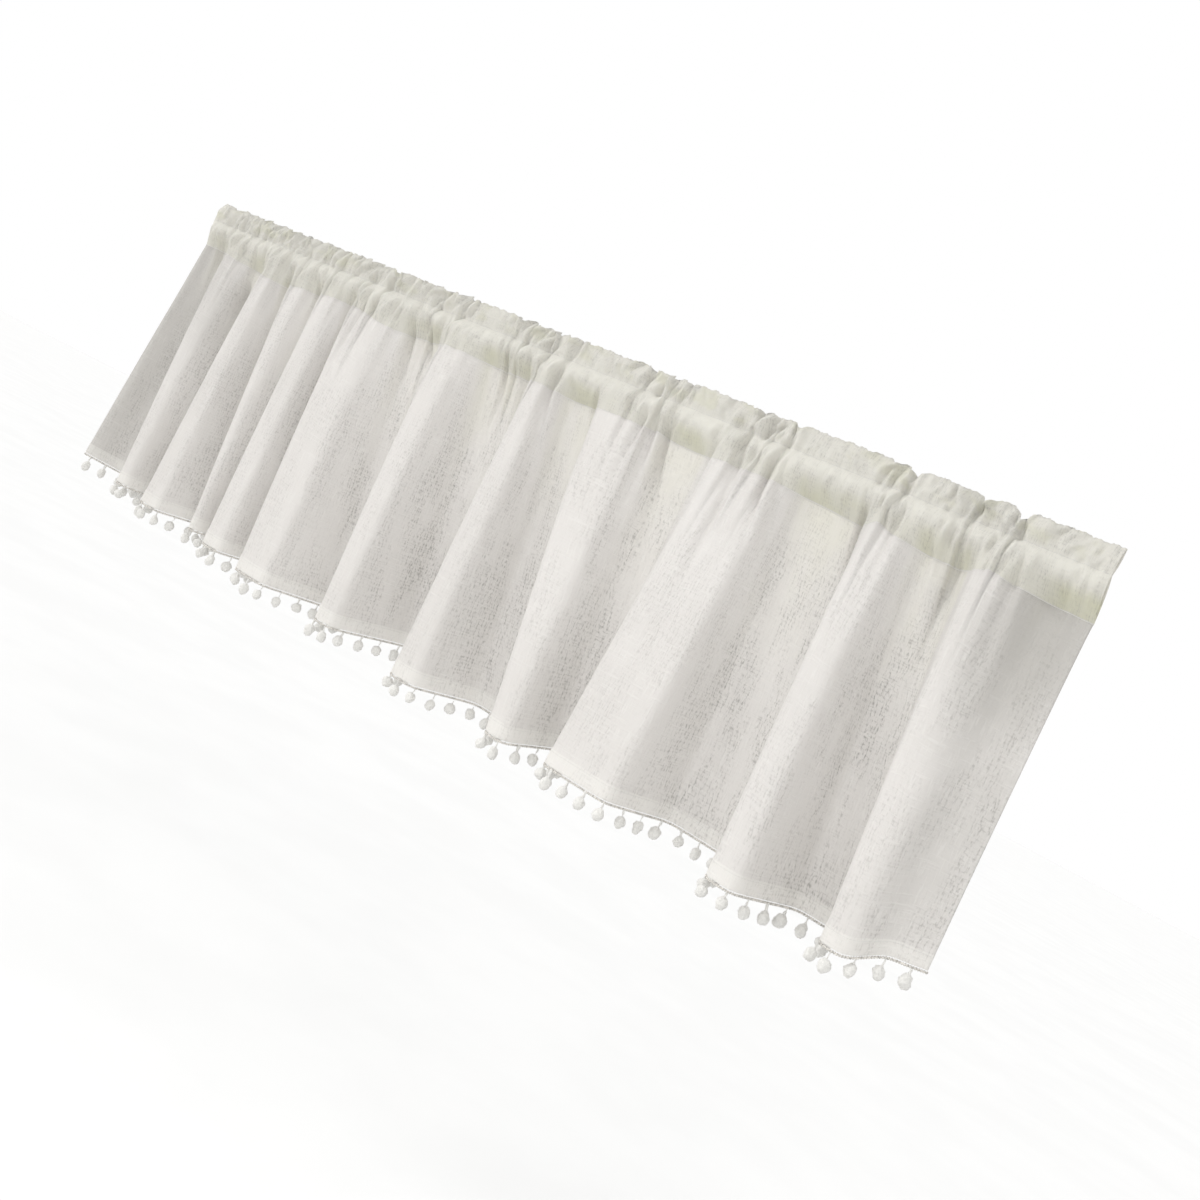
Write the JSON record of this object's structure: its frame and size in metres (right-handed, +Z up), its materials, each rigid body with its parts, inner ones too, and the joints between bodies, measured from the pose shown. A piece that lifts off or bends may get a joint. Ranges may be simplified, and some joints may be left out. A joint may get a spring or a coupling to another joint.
{
  "type": "gathered cafe curtain valance",
  "caption": "Short gathered linen valance with a ruffled header, an open rod pocket, uneven hanging folds and a pompom edging along its hem.",
  "frame": {"origin": "middle of the header's top edge, on the line of the rod pocket", "axes": "+X along the heading, to the right as seen from the front; +Y towards the window, the face of the cloth is towards -Y; +Z up"},
  "size_m": [1.5565, 0.1196, 0.5007],
  "materials": {
    "heading_linen": "semi-sheer ivory slub linen, double at the heading",
    "skirt_linen": "semi-sheer ivory slub linen",
    "trim_yarn": "white cotton yarn"
  },
  "bodies": {
    "root": {"heading": "heading_linen", "panel": "skirt_linen", "pompom_trim": "trim_yarn"}
  },
  "joints": []
}
